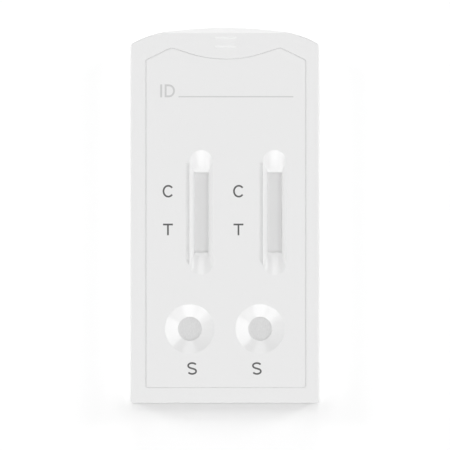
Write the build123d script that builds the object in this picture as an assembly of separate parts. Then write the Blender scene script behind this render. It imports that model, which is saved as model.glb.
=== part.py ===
from build123d import *
import math
import os

# Lateral flow cassette for two test strips.
# Millimetres. X runs across the cassette, Y towards the grip end, Z up out of the face.

# Body outline
BODY_WIDTH = 40.0
BODY_LENGTH = 80.0
CROWN_RISE = 3.46
CROWN_MID_SHARE = 0.6
CROWN_MID_DROP = 0.76
CORNER_RADIUS = 0.32

# Housing walls
WALL = 1.5
FLOOR = 1.2
ROOF = 1.0
LOWER_HEIGHT = 2.4
TOP_EDGE_RADIUS = 0.2
BOTTOM_EDGE_RADIUS = 0.2
PARTING_BEVEL = 0.12
TONGUE_THICKNESS = 0.6
TONGUE_DEPTH = 0.5
FIT_GAP = 0.05

# Face panel and grip
PANEL_MARGIN = 3.06
PANEL_FOOT_MARGIN = 3.35
PANEL_SHIFT_X = 0.2
PANEL_SHOULDER_DROP = 6.93
PANEL_PEAK_DROP = 4.33
PANEL_PEAK_X = 11.64
PANEL_BEND_DROP = 5.65
PANEL_BEND_X = 7.44
PANEL_DIP_DROP = 6.74
PANEL_STEP = 0.1
PANEL_CORNER = 0.4
GROOVE_WIDTH = 0.16
GROOVE_DEPTH = 0.28
GRIP_RIB_LENGTH = 4.7
GRIP_RIB_WIDTH = 1.2
GRIP_RIB_HEIGHT = 0.12
GRIP_RIB_BACK = 0.4
GRIP_RIB_DROP = 2.55
GRIP_RIB_PITCH = 1.82
GRIP_RIB_COUNT = 2
GRIP_BEVEL_RUN = 1.1
GRIP_BEVEL_DROP = 0.3

# Read windows
WINDOW_PITCH = 15.66
WINDOW_SHIFT_X = 2.79
WINDOW_Y = 0.62
WINDOW_WIDTH = 3.0
WINDOW_LENGTH = 17.14
WINDOW_SIDE_RUN = 1.0
WINDOW_END_RUN = 4.75
WINDOW_DROP = 1.3
CHANNEL_WIDTH = 0.72
CHANNEL_DEPTH = 0.5
CHANNEL_LAND = 0.06
CHANNEL_SHIFT_Y = -0.3
CHANNEL_SLANT = 0.92
WINDOW_SKIRT = 0.8
WINDOW_SKIRT_GAP = 0.15
WINDOW_AIR = 0.12

# Sample wells
WELL_PITCH = 15.0
WELL_Y = -24.22
WELL_RADIUS = 2.56
WELL_RUN = 2.71
WELL_DROP = 1.1
WELL_COLLAR = 0.9
WELL_FLARE = 1.35
WELL_FLARE_RISE = 0.3

# Test strips
STRIP_WIDTH = 7.5
CARD_THICKNESS = 0.3
MEMBRANE_THICKNESS = 0.15
CONJUGATE_THICKNESS = 0.3
SAMPLE_THICKNESS = 0.5
ABSORBENT_THICKNESS = 0.6
MEMBRANE_MARGIN = 3.93
PAD_OVERLAP = 2.0
PAD_DRAPE = 0.6
SAMPLE_END = 7.0
ABSORBENT_LENGTH = 17.7
HEADROOM = 0.1
PAD_CLEARANCE = 0.05

# Strip seats
BED_HEIGHT = 1.15
BED_BAR_WIDTH = 1.0
BED_BAR_COUNT = 9
LUG_THICKNESS = 0.7
LUG_LENGTH = 5.0
LUG_GAP = 0.12
LUG_RISE = 0.25
LUG_COUNT = 4
PRESS_BAR = 0.9
PRESS_BAR_SHARES = (0.25, 0.7)

# Pins and posts
PIN_RADIUS = 0.8
PIN_TIP = 0.25
PIN_GAP = 0.03
POST_WALL = 0.8
POST_END_ROW = 7.0
POST_SPACE = 0.2
POST_ROW_SPACE = 0.5
POST_CLEARANCE = 0.15
PIN_TIP_RISE = 0.3

# Depth by which a form reaches into the one that carries it
ROOT = 0.2

# Levels up from the bench
card_z = FLOOR + BED_HEIGHT
layer_z = card_z + CARD_THICKNESS
membrane_top = layer_z + MEMBRANE_THICKNESS
conjugate_top = layer_z + CONJUGATE_THICKNESS
sample_top = layer_z + SAMPLE_THICKNESS
absorbent_top = layer_z + ABSORBENT_THICKNESS
overlap_top = max(conjugate_top + SAMPLE_THICKNESS, membrane_top + ABSORBENT_THICKNESS)
roof_z = overlap_top + HEADROOM
border_z = roof_z + ROOF
panel_z = border_z + PANEL_STEP

# Window rim: straight sides with round ends
rim_radius = WINDOW_WIDTH / 2 + WINDOW_SIDE_RUN
rim_straight = WINDOW_LENGTH / 2 + WINDOW_END_RUN - rim_radius

# Lanes: each strip lies under both its window and its well
sides = {"left": -1, "right": 1}
window_x = {name: WINDOW_SHIFT_X + sign * WINDOW_PITCH / 2 for name, sign in sides.items()}
well_x = {name: sign * WELL_PITCH / 2 for name, sign in sides.items()}
lane_x = {}
for name in sides:
    low = min(window_x[name] - WINDOW_WIDTH / 2, well_x[name] - WELL_RADIUS)
    high = max(window_x[name] + WINDOW_WIDTH / 2, well_x[name] + WELL_RADIUS)
    lane_x[name] = (low + high) / 2

# Stations along the strip
window_low = WINDOW_Y - WINDOW_LENGTH / 2
window_high = WINDOW_Y + WINDOW_LENGTH / 2
collar_radius = WELL_RADIUS + WELL_COLLAR
strip_start = WELL_Y - SAMPLE_END
conjugate_start = WELL_Y + collar_radius + 2 * PAD_DRAPE + PRESS_BAR
sample_stop = conjugate_start + PAD_OVERLAP
membrane_start = window_low - MEMBRANE_MARGIN
membrane_stop = window_high + MEMBRANE_MARGIN
conjugate_stop = membrane_start + PAD_OVERLAP
absorbent_start = membrane_stop - PAD_OVERLAP
strip_stop = absorbent_start + ABSORBENT_LENGTH
strip_length = strip_stop - strip_start
strip_middle = (strip_start + strip_stop) / 2

# Pin places: outside both lanes and between them
lane_edge = max(abs(x) + STRIP_WIDTH / 2 for x in lane_x.values())
post_radius = PIN_RADIUS + PIN_GAP + POST_WALL
post_x = lane_edge + LUG_GAP + LUG_THICKNESS + post_radius + POST_SPACE
recess_reach = WINDOW_LENGTH / 2 + WINDOW_END_RUN + WINDOW_SKIRT
end_row = BODY_LENGTH / 2 - POST_END_ROW
low_row = WINDOW_Y - recess_reach - post_radius - POST_ROW_SPACE
high_row = (WINDOW_Y + recess_reach + end_row) / 2
middle_x = (lane_x["left"] + lane_x["right"]) / 2
post_spots = [(x, y) for x in (-post_x, post_x) for y in (-end_row, low_row, high_row)]
post_spots += [(middle_x, low_row), (middle_x, end_row)]
post_top = roof_z - POST_CLEARANCE


def block(x, y, z0, z1, width, length):
    """Upright bar centred on x, y from level z0 to level z1."""
    return Pos(x, y, z0) * Box(width, length, z1 - z0, align=(Align.CENTER, Align.CENTER, Align.MIN))


def rod(x, y, z0, z1, radius):
    """Round bar from level z0 to level z1."""
    return Pos(x, y, z0) * Cylinder(radius, z1 - z0, align=(Align.CENTER, Align.CENTER, Align.MIN))


def body_outline():
    """Straight foot and sides, closed by a crown of three tangent arcs."""
    half = BODY_WIDTH / 2
    top = BODY_LENGTH / 2
    shoulder = top - CROWN_RISE
    mid = half * CROWN_MID_SHARE
    mid_y = top - CROWN_MID_DROP
    radius = (mid**2 + CROWN_MID_DROP**2) / (2 * CROWN_MID_DROP)
    slope = mid / (radius - CROWN_MID_DROP)
    edges = Polyline((-half, shoulder), (-half, -top), (half, -top), (half, shoulder))
    for side in (-1, 1):
        edges += TangentArc((0, top), (side * mid, mid_y), tangent=(side, 0))
        edges += TangentArc((side * mid, mid_y), (side * half, shoulder), tangent=(side, -slope))
    return make_face(edges)


def inset(amount):
    """Body outline drawn in from the outer wall."""
    return offset(body_outline(), -amount, kind=Kind.INTERSECTION)


def rounded_body(height):
    """Block with the body outline and softly rounded upright corners."""
    edge = max(TOP_EDGE_RADIUS, BOTTOM_EDGE_RADIUS)
    face = body_outline()
    half = BODY_WIDTH / 2
    corners = [v for v in face.vertices() if abs(abs(v.X) - half) < 0.01]
    return extrude(fillet(corners, max(CORNER_RADIUS, edge + 0.1)), height)


def panel_outline():
    """Face panel: square foot, sloped shoulders and a curve round the grip."""
    half = BODY_WIDTH / 2 - PANEL_MARGIN
    top = BODY_LENGTH / 2
    foot = PANEL_FOOT_MARGIN - top
    shoulder = (half, top - PANEL_SHOULDER_DROP)
    peak = (PANEL_PEAK_X, top - PANEL_PEAK_DROP)
    bend = (PANEL_BEND_X, top - PANEL_BEND_DROP)
    right = Polyline((0, foot), (half, foot), shoulder, peak, bend)
    left = Polyline((0, foot), (-half, foot), (-half, shoulder[1]), (-peak[0], peak[1]), (-bend[0], bend[1]))
    dip = ThreePointArc(bend, (0, top - PANEL_DIP_DROP), (-bend[0], bend[1]))
    face = make_face(right + left + dip)
    corners = [v for v in face.vertices() if abs(v.X) > PANEL_PEAK_X - 0.01]
    return Pos(PANEL_SHIFT_X, 0) * fillet(corners, PANEL_CORNER)


def recess_outline(x, grow):
    """Round-ended rim of one window recess."""
    width = WINDOW_WIDTH + 2 * WINDOW_SIDE_RUN + 2 * grow
    length = WINDOW_LENGTH + 2 * WINDOW_END_RUN + 2 * grow
    return Pos(x, WINDOW_Y) * Rot(0, 0, 90) * SlotOverall(length, width)


def recess_cut(x):
    """Window recess: side bevels and end ramps ruled from the rim to the slot, then the slot itself."""
    top = panel_z
    low = top - WINDOW_DROP
    radius = rim_radius
    straight = rim_straight
    reach = radius + straight
    half = WINDOW_WIDTH / 2
    end = WINDOW_LENGTH / 2
    rim = Wire(
        [
            Edge.make_line((radius, -straight, top), (radius, straight, top)),
            Edge.make_three_point_arc((radius, straight, top), (0, reach, top), (-radius, straight, top)),
            Edge.make_line((-radius, straight, top), (-radius, -straight, top)),
            Edge.make_three_point_arc((-radius, -straight, top), (0, -reach, top), (radius, -straight, top)),
        ]
    )
    slot = Wire.make_polygon([(half, -end, low), (half, end, low), (-half, end, low), (-half, -end, low)])
    bevel = Solid.make_loft([rim, slot], True)
    return Pos(x, WINDOW_Y) * bevel + block(x, WINDOW_Y, 0, low, WINDOW_WIDTH, WINDOW_LENGTH)


def channel_cut(x):
    """Shallow channel along the left bevel of a window, with a slanted lower end."""
    inner = -rim_radius - CHANNEL_LAND
    outer = inner - CHANNEL_WIDTH
    high = CHANNEL_SHIFT_Y + rim_straight
    low = CHANNEL_SHIFT_Y - rim_straight
    plan = Polyline((inner, high), (outer, high), (outer, low + CHANNEL_SLANT), (inner, low), close=True)
    return Pos(x, WINDOW_Y, panel_z - CHANNEL_DEPTH) * extrude(make_face(plan), 2 * CHANNEL_DEPTH)


def well_cut(x):
    """Sample well: funnel above a short straight bore."""
    top = panel_z
    low = top - WELL_DROP
    outer = WELL_RADIUS + WELL_RUN
    profile = Polyline((0, 0), (WELL_RADIUS, 0), (WELL_RADIUS, low), (outer, top), (0, top), (0, 0))
    return Pos(x, WELL_Y) * revolve(Plane.XZ * make_face(profile), Axis.Z)


def draped(points, x):
    """Strip layer: a side profile along Y and Z, drawn out to the strip's width."""
    face = make_face(Polyline(*points, close=True))
    layer = extrude(Plane.YZ * face, STRIP_WIDTH / 2, both=True)
    return Pos(x, 0, layer_z) * layer


def drape_over(start, stop, edge, step, thickness):
    """Pad profile that runs flat on the card and climbs over the layer that begins at edge."""
    bend = edge - math.copysign(PAD_DRAPE, stop - start)
    return (
        (start, 0),
        (bend, 0),
        (edge, step),
        (stop, step),
        (stop, step + thickness),
        (edge, step + thickness),
        (bend, thickness),
        (start, thickness),
    )


def strip_layers(x):
    """The five layers of one test strip, lying one on the other."""
    card = block(x, strip_middle, card_z, layer_z, STRIP_WIDTH, strip_length)
    membrane_middle = (membrane_start + membrane_stop) / 2
    membrane_length = membrane_stop - membrane_start
    membrane = block(x, membrane_middle, layer_z, membrane_top, STRIP_WIDTH, membrane_length)
    conjugate = drape_over(
        conjugate_start, conjugate_stop, membrane_start, MEMBRANE_THICKNESS, CONJUGATE_THICKNESS
    )
    sample = drape_over(strip_start, sample_stop, conjugate_start, CONJUGATE_THICKNESS, SAMPLE_THICKNESS)
    absorbent = drape_over(
        strip_stop, absorbent_start, membrane_stop, MEMBRANE_THICKNESS, ABSORBENT_THICKNESS
    )
    return {
        "backing_card": card,
        "membrane": membrane,
        "conjugate_pad": draped(conjugate, x),
        "sample_pad": draped(sample, x),
        "absorbent_pad": draped(absorbent, x),
    }


def strip_seat(x):
    """Bed bars under the card, side lugs along it and a stop at each end."""
    seat = Part()
    step = (strip_length - BED_BAR_WIDTH) / (BED_BAR_COUNT - 1)
    for i in range(BED_BAR_COUNT):
        y = strip_start + BED_BAR_WIDTH / 2 + i * step
        seat += block(x, y, FLOOR - ROOT, card_z, STRIP_WIDTH, BED_BAR_WIDTH)
    lug_top = layer_z + LUG_RISE
    lug_x = STRIP_WIDTH / 2 + LUG_GAP + LUG_THICKNESS / 2
    stretch = strip_length / LUG_COUNT
    for i in range(LUG_COUNT):
        y = strip_start + (i + 0.5) * stretch
        for side in (-1, 1):
            seat += block(x + side * lug_x, y, FLOOR - ROOT, lug_top, LUG_THICKNESS, LUG_LENGTH)
    stop_y = strip_length / 2 + LUG_GAP + LUG_THICKNESS / 2
    for side in (-1, 1):
        y = strip_middle + side * stop_y
        seat += block(x, y, FLOOR - ROOT, lug_top, STRIP_WIDTH / 2, LUG_THICKNESS)
    return seat


def lower_housing():
    """Tray with strip seats, pin posts and a stepped rim for the upper half's tongue."""
    body = rounded_body(LOWER_HEIGHT)
    body = fillet(body.faces().sort_by(Axis.Z)[0].edges(), BOTTOM_EDGE_RADIUS)
    body = chamfer(body.faces().sort_by(Axis.Z)[-1].edges(), PARTING_BEVEL)
    body -= Pos(0, 0, FLOOR) * extrude(inset(WALL), LOWER_HEIGHT)
    step_z = LOWER_HEIGHT - TONGUE_DEPTH - FIT_GAP
    body -= Pos(0, 0, step_z) * extrude(inset(WALL - TONGUE_THICKNESS - FIT_GAP), LOWER_HEIGHT)
    for x in lane_x.values():
        body += strip_seat(x)
    for x, y in post_spots:
        body += rod(x, y, FLOOR - ROOT, post_top, post_radius)
    for x, y in post_spots:
        body -= rod(x, y, FLOOR, post_top + 1, PIN_RADIUS + PIN_GAP)
    return body


def pin(x, y):
    """Six-sided pin with a bevelled tip, hanging from the roof."""
    tip = FLOOR + PIN_TIP_RISE
    shank = extrude(RegularPolygon(PIN_RADIUS, 6), roof_z + ROOT - tip)
    shank = chamfer(shank.faces().sort_by(Axis.Z)[0].edges(), PIN_TIP)
    return Pos(x, y, tip) * shank


def grip_rib():
    """Low grip step: a gentle climb towards the crown, a steep back and ends that draw in at the foot."""
    half = GRIP_RIB_WIDTH / 2
    reach = GRIP_RIB_LENGTH / 2
    crest = (half - GRIP_RIB_BACK, GRIP_RIB_HEIGHT)
    climb = Polyline((-half, 0), crest, (half, 0), (half, -ROOT), (-half, -ROOT), close=True)
    plan = Polyline((half - reach, -half), (reach - half, -half), (reach, half), (-reach, half), close=True)
    bar = extrude(Plane.YZ * make_face(climb), reach, both=True)
    return bar & extrude(make_face(plan), 1, both=True)


def crown_bevel():
    """Wedge that takes the crown's top edge off at a slant, for the thumb."""
    start = BODY_LENGTH / 2 - GRIP_BEVEL_RUN
    reach = 2 * GRIP_BEVEL_RUN
    low = border_z - 2 * GRIP_BEVEL_DROP
    slant = Polyline((start, border_z), (start + reach, border_z), (start + reach, low), close=True)
    return extrude(Plane.YZ * make_face(slant), BODY_WIDTH, both=True)


def press_bars(x):
    """Bars under the roof that hold the pads down on the strip."""
    width = STRIP_WIDTH - 2 * LUG_THICKNESS
    stations = (
        (strip_start + PRESS_BAR, sample_top),
        ((sample_stop + membrane_start - PAD_DRAPE) / 2, conjugate_top),
        *((membrane_stop + share * ABSORBENT_LENGTH, absorbent_top) for share in PRESS_BAR_SHARES),
    )
    bars = Part()
    for y, level in stations:
        bars += block(x, y, level, roof_z + ROOT, width, PRESS_BAR)
    return bars


def upper_housing():
    """Cover with the grip, panel, windows and wells above, and skirts, collars, press bars and pins below."""
    body = Pos(0, 0, LOWER_HEIGHT) * rounded_body(border_z - LOWER_HEIGHT)
    body = fillet(body.faces().sort_by(Axis.Z)[-1].edges(), TOP_EDGE_RADIUS)
    body = chamfer(body.faces().sort_by(Axis.Z)[0].edges(), PARTING_BEVEL)
    body -= Pos(0, 0, LOWER_HEIGHT) * extrude(inset(WALL), roof_z - LOWER_HEIGHT)
    tongue = inset(WALL - TONGUE_THICKNESS) - inset(WALL)
    body += Pos(0, 0, LOWER_HEIGHT - TONGUE_DEPTH) * extrude(tongue, TONGUE_DEPTH + ROOT)
    body -= crown_bevel()
    panel = panel_outline()
    groove = offset(panel, GROOVE_WIDTH, kind=Kind.INTERSECTION)
    body -= Pos(0, 0, border_z - GROOVE_DEPTH) * extrude(groove, 1)
    body += Pos(0, 0, border_z - GROOVE_DEPTH) * extrude(panel, GROOVE_DEPTH + PANEL_STEP)
    for i in range(GRIP_RIB_COUNT):
        y = BODY_LENGTH / 2 - GRIP_RIB_DROP - i * GRIP_RIB_PITCH
        body += Pos(PANEL_SHIFT_X, y, border_z) * grip_rib()
    for x in lane_x.values():
        body += press_bars(x)
    boss_z = membrane_top + ABSORBENT_THICKNESS + PAD_CLEARANCE
    for x in window_x.values():
        body += Pos(0, 0, boss_z) * extrude(recess_outline(x, WINDOW_SKIRT / 2), panel_z - boss_z)
        skirt_z = membrane_top + WINDOW_AIR
        skirt_width = WINDOW_WIDTH + 2 * WINDOW_SKIRT
        skirt_length = WINDOW_LENGTH + 2 * (MEMBRANE_MARGIN - PAD_OVERLAP - WINDOW_SKIRT_GAP)
        body += block(x, WINDOW_Y, skirt_z, roof_z, skirt_width, skirt_length)
    for x in well_x.values():
        body += rod(x, WELL_Y, sample_top, panel_z, collar_radius)
        body += rod(x, WELL_Y, sample_top + WELL_FLARE_RISE, panel_z, collar_radius + WELL_FLARE)
    for x in window_x.values():
        body -= recess_cut(x)
        body -= channel_cut(x)
    for x in well_x.values():
        body -= well_cut(x)
    for x, y in post_spots:
        body += pin(x, y)
    return body


os.makedirs("parts", exist_ok=True)
export_step(lower_housing(), "parts/lower_housing.step")
export_step(upper_housing(), "parts/upper_housing.step")
for name, x in lane_x.items():
    for layer, shape in strip_layers(x).items():
        export_step(shape, f"parts/{name}_{layer}.step")
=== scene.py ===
import math
from collections import namedtuple

import bpy
from mathutils import Euler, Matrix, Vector


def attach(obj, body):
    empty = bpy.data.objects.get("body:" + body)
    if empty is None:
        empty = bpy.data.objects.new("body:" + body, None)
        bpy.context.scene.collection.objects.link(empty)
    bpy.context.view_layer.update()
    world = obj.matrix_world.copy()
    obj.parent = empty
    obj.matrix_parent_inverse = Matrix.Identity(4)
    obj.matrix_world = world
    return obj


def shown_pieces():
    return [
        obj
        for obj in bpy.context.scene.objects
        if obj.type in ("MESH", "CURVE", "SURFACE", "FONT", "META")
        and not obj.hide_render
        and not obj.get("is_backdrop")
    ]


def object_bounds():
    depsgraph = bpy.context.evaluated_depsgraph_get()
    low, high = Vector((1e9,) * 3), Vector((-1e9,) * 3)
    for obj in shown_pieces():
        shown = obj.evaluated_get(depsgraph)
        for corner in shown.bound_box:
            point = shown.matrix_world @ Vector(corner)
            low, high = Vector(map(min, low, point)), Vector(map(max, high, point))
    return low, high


# Lateral flow cassette for two strips, lying on its back and seen straight from above.
# Metres. +Y runs towards the grip end and is up in the picture.

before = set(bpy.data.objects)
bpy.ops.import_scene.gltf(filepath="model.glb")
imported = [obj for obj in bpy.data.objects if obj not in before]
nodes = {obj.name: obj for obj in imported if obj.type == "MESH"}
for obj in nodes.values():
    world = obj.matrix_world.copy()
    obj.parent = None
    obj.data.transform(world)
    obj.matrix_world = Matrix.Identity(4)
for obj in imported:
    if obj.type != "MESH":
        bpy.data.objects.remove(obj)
cad_low, cad_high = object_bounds()

MM = 0.001
WHITE = (1.0, 1.0, 1.0)

# Camera: a long lens high above the face
CAMERA_HEIGHT = 0.8
CAMERA_LENS = 300.0
CAMERA_SENSOR = 36.0
CAMERA_CLIP = 20.0
CAMERA_X = 0.02 * MM
CAMERA_Y = -2.05 * MM

# Surfaces: settings that all grains share, and the grain's pull along each axis
GRAIN_DETAIL = 3.0
GRAIN_DISTORTION = 0.6
DARK_UP_TO = 0.3
LIGHT_FROM = 0.7
ROUGHNESS_SPREAD = 0.04
RELIEF_STRENGTH = 0.6
EVEN = (1.0, 1.0, 1.0)
FIBROUS = (1.0, 0.22, 1.0)

# Floor: a wide sheet a hair below the cassette
FLOOR_TONE = 0.8
FLOOR_HALF = 3.0
FLOOR_DROP = 0.02 * MM

# Print: thickness and stroke, and a height from which the face is found
PRINT_RISE = 0.008 * MM
PRINT_SINK = 0.012 * MM
STROKE = 0.365 * MM
PROBE_HEIGHT = 1.0

# Print: shapes of the letters, with angles in degrees and the rest as shares
ARC_STEP = 8
C_MOUTH = 38
S_START = 25
S_SWEEP = 220
S_SQUASH = 0.92
D_STRAIGHT = 0.3

# Print: width and height of each dark letter, and its place on the face
CONTROL_SIZE = (2.42 * MM, 2.68 * MM)
TEST_SIZE = (2.1 * MM, 2.48 * MM)
SAMPLE_SIZE = (2.06 * MM, 2.68 * MM)
CONTROL_Y = 5.16 * MM
TEST_Y = -3.0 * MM
SAMPLE_Y = -32.66 * MM
CONTROL_SHIFT = 0.07 * MM
LINE_MARK_X = {"left": -12.15 * MM, "right": 2.89 * MM}
SAMPLE_MARK_X = {"left": -6.99 * MM, "right": 6.82 * MM}

# Print: pale write-in line above the windows
PALE_STROKE = 0.4 * MM
PALE_SIZE = (2.2 * MM, 2.75 * MM)
PALE_Y = 26.57 * MM
PALE_I_X = -13.6 * MM
PALE_D_X = -11.75 * MM
RULE_LEFT = -9.9 * MM
RULE_RIGHT = 14.6 * MM
RULE_WIDTH = 0.24 * MM

# Light: level of the dome, as a share of full white
DOME_LEVEL = 0.142

# Lamps: level is what a lamp gives a flat white face, as a share of full white. Elevation and softness,
# which is how wide the lamp looks, are in degrees.
Lamp = namedtuple("Lamp", "elevation level softness")

# Lamps on the object, each named for where it stands or for what it lights
RIGHT_LIGHT = Lamp(elevation=18, level=0.122, softness=24)
LEFT_LIGHT = Lamp(elevation=18, level=0.13, softness=24)
FACE_LIGHT = Lamp(elevation=89.9, level=0.0645, softness=30)
GRIP_LIGHT = Lamp(elevation=46, level=0.055, softness=24)
CROWN_LIGHT = Lamp(elevation=64, level=0.049, softness=20)
RAMP_LIGHT = Lamp(elevation=50, level=0.09, softness=26)
END_LIGHT = Lamp(elevation=50, level=0.047, softness=20)

# Small lamps in fans that light the wells' funnels from across the well: two for the top, one for the left
TOP_RING = Lamp(elevation=46, level=0.011, softness=12)
HIGH_RING = Lamp(elevation=60, level=0.013, softness=12)
LEFT_RING = Lamp(elevation=46, level=0.0232, softness=12)

# Lamps on the floor: one overhead, and others beyond the grip end that leave a soft shadow at the foot
OVERHEAD = Lamp(elevation=89.9, level=0.6, softness=20)
BEHIND_HIGH = Lamp(elevation=65, level=0.105, softness=16)
BEHIND_LOW = Lamp(elevation=8, level=0.06, softness=16)
NEAR_HIGH = Lamp(elevation=45, level=0.05, softness=16)
WIDE_HIGH = Lamp(elevation=45, level=0.046, softness=16)
WIDE_LOW = Lamp(elevation=18, level=0.094, softness=16)

# Azimuths at which the lamps stand, in degrees round from the right-hand side
RIGHT_SIDE = 0
GRIP_END = 90
LEFT_SIDE = 180
FOOT_END = -90
FOOT_LEFT = -125
TOP_FAN = range(-144, -42, 16)
LEFT_FAN = range(-26, 46, 16)

# Turns from the grip end at which the floor's paired lamps stand, in degrees
NEAR_LEAN = 35
WIDE_LEAN = 65


def surface(name, dark, light, stretch, grain, depth, roughness, gloss):
    """Procedural surface: two tones mixed by a grain, with matching relief and uneven roughness.

    grain and depth are the grain's size and relief in metres, stretch its pull along each axis.
    """
    material = bpy.data.materials.new(name)
    material.use_nodes = True
    tree = material.node_tree
    shader = tree.nodes["Principled BSDF"]
    shader.inputs["Specular IOR Level"].default_value = gloss
    place = tree.nodes.new("ShaderNodeTexCoord")
    pull = tree.nodes.new("ShaderNodeMapping")
    pull.inputs["Scale"].default_value = stretch
    noise = tree.nodes.new("ShaderNodeTexNoise")
    noise.inputs["Scale"].default_value = 1.0 / grain
    noise.inputs["Detail"].default_value = GRAIN_DETAIL
    noise.inputs["Distortion"].default_value = GRAIN_DISTORTION
    tone = tree.nodes.new("ShaderNodeValToRGB")
    tone.color_ramp.elements[0].position = DARK_UP_TO
    tone.color_ramp.elements[0].color = (*dark, 1.0)
    tone.color_ramp.elements[1].position = LIGHT_FROM
    tone.color_ramp.elements[1].color = (*light, 1.0)
    spread = tree.nodes.new("ShaderNodeMapRange")
    spread.inputs["To Min"].default_value = roughness - ROUGHNESS_SPREAD
    spread.inputs["To Max"].default_value = roughness + ROUGHNESS_SPREAD
    relief = tree.nodes.new("ShaderNodeBump")
    relief.inputs["Strength"].default_value = RELIEF_STRENGTH
    relief.inputs["Distance"].default_value = depth
    tree.links.new(place.outputs["Object"], pull.inputs["Vector"])
    tree.links.new(pull.outputs["Vector"], noise.inputs["Vector"])
    tree.links.new(noise.outputs["Fac"], tone.inputs["Fac"])
    tree.links.new(noise.outputs["Fac"], spread.inputs["Value"])
    tree.links.new(noise.outputs["Fac"], relief.inputs["Height"])
    tree.links.new(tone.outputs["Color"], shader.inputs["Base Color"])
    tree.links.new(spread.outputs["Result"], shader.inputs["Roughness"])
    tree.links.new(relief.outputs["Normal"], shader.inputs["Normal"])
    return material


def grey(level):
    """Neutral colour of one level."""
    return (level, level, level)


# Materials of the housing and of the strips
housing_plastic = surface(
    "housing_plastic", grey(0.812), grey(0.828), EVEN,
    grain=0.16 * MM, depth=0.001 * MM, roughness=0.16, gloss=0.6,
)
backing_card = surface(
    "backing_card", grey(0.83), grey(0.86), EVEN,
    grain=0.3 * MM, depth=0.001 * MM, roughness=0.25, gloss=0.5,
)
sample_pad = surface(
    "sample_pad", grey(0.682), grey(0.762), FIBROUS,
    grain=0.12 * MM, depth=0.03 * MM, roughness=0.85, gloss=0.3,
)
conjugate_pad = surface(
    "conjugate_pad", (0.66, 0.5, 0.53), (0.76, 0.62, 0.64), FIBROUS,
    grain=0.12 * MM, depth=0.03 * MM, roughness=0.85, gloss=0.3,
)
membrane = surface(
    "membrane", grey(0.802), grey(0.832), EVEN,
    grain=0.08 * MM, depth=0.004 * MM, roughness=0.7, gloss=0.3,
)
absorbent_pad = surface(
    "absorbent_pad", (0.76, 0.76, 0.74), (0.83, 0.83, 0.81), EVEN,
    grain=0.1 * MM, depth=0.02 * MM, roughness=0.9, gloss=0.3,
)

# Materials of the print
print_ink = surface(
    "print_ink", grey(0.08), grey(0.11), EVEN,
    grain=0.1 * MM, depth=0.002 * MM, roughness=0.5, gloss=0.4,
)
pale_ink = surface(
    "pale_ink", grey(0.57), grey(0.61), EVEN,
    grain=0.1 * MM, depth=0.002 * MM, roughness=0.5, gloss=0.4,
)

# Each node takes the finish that its name ends with
finishes = {
    "housing": housing_plastic,
    "backing_card": backing_card,
    "sample_pad": sample_pad,
    "conjugate_pad": conjugate_pad,
    "membrane": membrane,
    "absorbent_pad": absorbent_pad,
}
for name, piece in nodes.items():
    ending = next(ending for ending in finishes if name.endswith(ending))
    piece.data.materials.clear()
    piece.data.materials.append(finishes[ending])


def face_level(x, y):
    """Height of the cassette's face under one place."""
    above = Vector((x, y, PROBE_HEIGHT))
    hit, point, _, _ = nodes["upper_housing"].ray_cast(above, Vector((0.0, 0.0, -1.0)))
    if not hit:
        raise ValueError("the print lies off the face")
    return point.z


def arc(x, y, radius_x, radius_y, start, stop):
    """Points along part of an ellipse, by angles in degrees."""
    steps = max(2, math.ceil(abs(stop - start) / ARC_STEP))
    angles = [math.radians(start + (stop - start) * i / steps) for i in range(steps + 1)]
    return [Vector((x + radius_x * math.cos(a), y + radius_y * math.sin(a))) for a in angles]


def letter_c(width, height, stroke):
    """Open ring."""
    return [arc(0.0, 0.0, (width - stroke) / 2, (height - stroke) / 2, C_MOUTH, 360 - C_MOUTH)]


def letter_t(width, height, stroke):
    """Bar on a stem."""
    top = height / 2
    bar = [Vector((-width / 2, top - stroke / 2)), Vector((width / 2, top - stroke / 2))]
    stem = [Vector((0.0, top - stroke)), Vector((0.0, -top))]
    return [bar, stem]


def letter_s(width, height, stroke):
    """Two bows joined by a slanted spine, the lower one the upper one turned half round."""
    radius_x = (width - stroke) / 2
    middle = (height - stroke) / (2 + 2 * S_SQUASH)
    radius_y = S_SQUASH * middle
    stop = S_START + S_SWEEP
    upper = arc(0.0, middle, radius_x, radius_y, S_START, stop)
    lower = arc(0.0, -middle, radius_x, radius_y, stop - 180, S_START - 180)
    return [upper + lower]


def letter_i(height):
    """Single stem."""
    return [[Vector((0.0, height / 2)), Vector((0.0, -height / 2))]]


def letter_d(width, height, stroke):
    """Bow whose ends run straight back to a stem."""
    left = (stroke - width) / 2
    half = (height - stroke) / 2
    stem = [Vector((left, height / 2)), Vector((left, -height / 2))]
    bow = arc(left + D_STRAIGHT * width, 0.0, (1 - D_STRAIGHT) * width - stroke, half, 90, -90)
    head = Vector((left + stroke / 2, half))
    foot = Vector((left + stroke / 2, -half))
    return [stem, [head] + bow + [foot]]


def stroke_edges(points, stroke):
    """Left and right edge points of a stroke along a path."""
    edges = []
    for i, point in enumerate(points):
        arrive = points[max(i, 1)] - points[max(i, 1) - 1]
        leave = points[min(i + 1, len(points) - 1)] - points[min(i, len(points) - 2)]
        along = (arrive.normalized() + leave.normalized()).normalized()
        across = Vector((-along.y, along.x)) * stroke / 2
        edges.append((point + across, point - across))
    return edges


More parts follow.
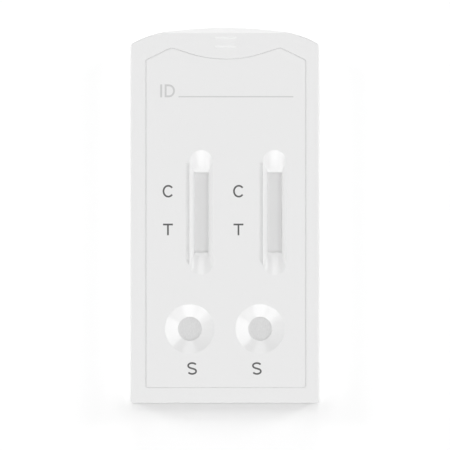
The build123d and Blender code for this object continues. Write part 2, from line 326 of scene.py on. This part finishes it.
def printed(name, paths, stroke, x, y, ink):
    """Thin printed mark made of strokes, set on one place of the face.

    Each section of a stroke has four points: left and right below, then left and right above.
    """
    vertices = []
    faces = []
    for points in paths:
        first = len(vertices)
        for left, right in stroke_edges(points, stroke):
            for level in (-PRINT_SINK, PRINT_RISE):
                vertices += [(left.x, left.y, level), (right.x, right.y, level)]
        last = len(vertices) - 4
        for i in range(first, last, 4):
            faces += [(i, i + 1, i + 5, i + 4), (i + 2, i + 6, i + 7, i + 3)]
            faces += [(i, i + 4, i + 6, i + 2), (i + 1, i + 3, i + 7, i + 5)]
        faces += [(first, first + 2, first + 3, first + 1), (last, last + 1, last + 3, last + 2)]
    mesh = bpy.data.meshes.new(name)
    mesh.from_pydata(vertices, [], faces)
    mesh.materials.append(ink)
    piece = bpy.data.objects.new(name, mesh)
    piece.location = (x, y, face_level(x, y))
    bpy.context.scene.collection.objects.link(piece)
    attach(piece, "root")


# Dark letters: control and test beside each window, sample below each well
for side in ("left", "right"):
    control = letter_c(*CONTROL_SIZE, STROKE)
    control_x = LINE_MARK_X[side] + CONTROL_SHIFT
    printed("control_mark_" + side, control, STROKE, control_x, CONTROL_Y, print_ink)
    test = letter_t(*TEST_SIZE, STROKE)
    printed("test_mark_" + side, test, STROKE, LINE_MARK_X[side], TEST_Y, print_ink)
    sample = letter_s(*SAMPLE_SIZE, STROKE)
    printed("sample_mark_" + side, sample, STROKE, SAMPLE_MARK_X[side], SAMPLE_Y, print_ink)

# Pale write-in line, level with the foot of its letters
pale_width, pale_height = PALE_SIZE
rule_half = (RULE_RIGHT - RULE_LEFT) / 2
rule = [Vector((-rule_half, 0.0)), Vector((rule_half, 0.0))]
rule_y = PALE_Y - pale_height / 2 + RULE_WIDTH / 2
pale_d = letter_d(pale_width, pale_height, PALE_STROKE)
printed("id_mark_i", letter_i(pale_height), PALE_STROKE, PALE_I_X, PALE_Y, pale_ink)
printed("id_mark_d", pale_d, PALE_STROKE, PALE_D_X, PALE_Y, pale_ink)
printed("write_in_line", [rule], RULE_WIDTH, RULE_LEFT + rule_half, rule_y, pale_ink)

# Floor
floor_mesh = bpy.data.meshes.new("floor")
corners = [(x * FLOOR_HALF, y * FLOOR_HALF, 0.0) for x, y in ((-1, -1), (1, -1), (1, 1), (-1, 1))]
floor_mesh.from_pydata(corners, [], [(0, 1, 2, 3)])
floor = bpy.data.objects.new("floor", floor_mesh)
floor.location.z = cad_low.z - FLOOR_DROP
floor_finish = surface(
    "floor", grey(FLOOR_TONE), grey(FLOOR_TONE), EVEN,
    grain=20 * MM, depth=0.0, roughness=0.9, gloss=0.0,
)
floor_mesh.materials.append(floor_finish)
bpy.context.scene.collection.objects.link(floor)
floor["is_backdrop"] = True

# What the lamps reach: the floor alone or the object alone
floor_only = bpy.data.collections.new("floor_only")
floor_only.objects.link(floor)
object_only = bpy.data.collections.new("object_only")
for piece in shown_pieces():
    object_only.objects.link(piece)


def add_lamp(name, azimuth, lamp, reach, glossy=True, shadow=True):
    """Distant lamp that lights one collection, with or without reflections and shadows."""
    sun = bpy.data.lights.new(name, "SUN")
    sun.energy = lamp.level * math.pi / math.sin(math.radians(lamp.elevation))
    sun.angle = math.radians(lamp.softness)
    sun.use_shadow = shadow
    light = bpy.data.objects.new(name, sun)
    light.rotation_euler = Euler((0.0, math.radians(90 - lamp.elevation), math.radians(azimuth)))
    light.visible_glossy = glossy
    bpy.context.scene.collection.objects.link(light)
    light.light_linking.receiver_collection = reach


# Lamps on the object
add_lamp("right_light", RIGHT_SIDE, RIGHT_LIGHT, object_only, glossy=False)
add_lamp("left_light", LEFT_SIDE, LEFT_LIGHT, object_only, glossy=False)
add_lamp("face_light", GRIP_END, FACE_LIGHT, object_only, glossy=False)
add_lamp("grip_light", GRIP_END, GRIP_LIGHT, object_only)
add_lamp("crown_light", GRIP_END, CROWN_LIGHT, object_only)
add_lamp("ramp_light", FOOT_END, RAMP_LIGHT, object_only)
add_lamp("end_light", FOOT_LEFT, END_LIGHT, object_only, shadow=False)
for azimuth in TOP_FAN:
    add_lamp("top_ring_%d" % azimuth, azimuth, TOP_RING, object_only, shadow=False)
    add_lamp("high_ring_%d" % azimuth, azimuth, HIGH_RING, object_only, shadow=False)
for azimuth in LEFT_FAN:
    add_lamp("left_ring_%d" % azimuth, azimuth, LEFT_RING, object_only)

# Lamps on the floor, the last three on both sides of the grip end
add_lamp("overhead", GRIP_END, OVERHEAD, floor_only)
add_lamp("behind_high", GRIP_END, BEHIND_HIGH, floor_only)
add_lamp("behind_low", GRIP_END, BEHIND_LOW, floor_only)
for side, lean in (("left", 1), ("right", -1)):
    add_lamp("near_high_" + side, GRIP_END + lean * NEAR_LEAN, NEAR_HIGH, floor_only)
    add_lamp("wide_high_" + side, GRIP_END + lean * WIDE_LEAN, WIDE_HIGH, floor_only)
    add_lamp("wide_low_" + side, GRIP_END + lean * WIDE_LEAN, WIDE_LOW, floor_only)

# World: even dome that is plain white to the eye and in reflections
world = bpy.data.worlds.new("studio")
bpy.context.scene.world = world
world.use_nodes = True
tree = world.node_tree
dome = tree.nodes["Background"]
dome.inputs["Color"].default_value = (*WHITE, 1.0)
dome.inputs["Strength"].default_value = DOME_LEVEL
backdrop = tree.nodes.new("ShaderNodeBackground")
backdrop.inputs["Color"].default_value = (*WHITE, 1.0)
backdrop.inputs["Strength"].default_value = 1.0
path = tree.nodes.new("ShaderNodeLightPath")
seen = tree.nodes.new("ShaderNodeMath")
seen.operation = "MAXIMUM"
mirrored = tree.nodes.new("ShaderNodeMath")
mirrored.operation = "MAXIMUM"
choose = tree.nodes.new("ShaderNodeMixShader")
tree.links.new(path.outputs["Is Camera Ray"], seen.inputs[0])
tree.links.new(path.outputs["Is Glossy Ray"], mirrored.inputs[0])
tree.links.new(path.outputs["Is Transmission Ray"], mirrored.inputs[1])
tree.links.new(mirrored.outputs["Value"], seen.inputs[1])
tree.links.new(seen.outputs["Value"], choose.inputs["Fac"])
tree.links.new(dome.outputs["Background"], choose.inputs[1])
tree.links.new(backdrop.outputs["Background"], choose.inputs[2])
tree.links.new(choose.outputs["Shader"], tree.nodes["World Output"].inputs["Surface"])

# Camera
eye = bpy.data.cameras.new("camera")
eye.lens = CAMERA_LENS
eye.sensor_width = CAMERA_SENSOR
eye.clip_end = CAMERA_CLIP
camera = bpy.data.objects.new("camera", eye)
camera.location = (CAMERA_X, CAMERA_Y, cad_high.z + CAMERA_HEIGHT)
bpy.context.scene.collection.objects.link(camera)
bpy.context.scene.camera = camera
bpy.context.scene.view_settings.view_transform = "Standard"
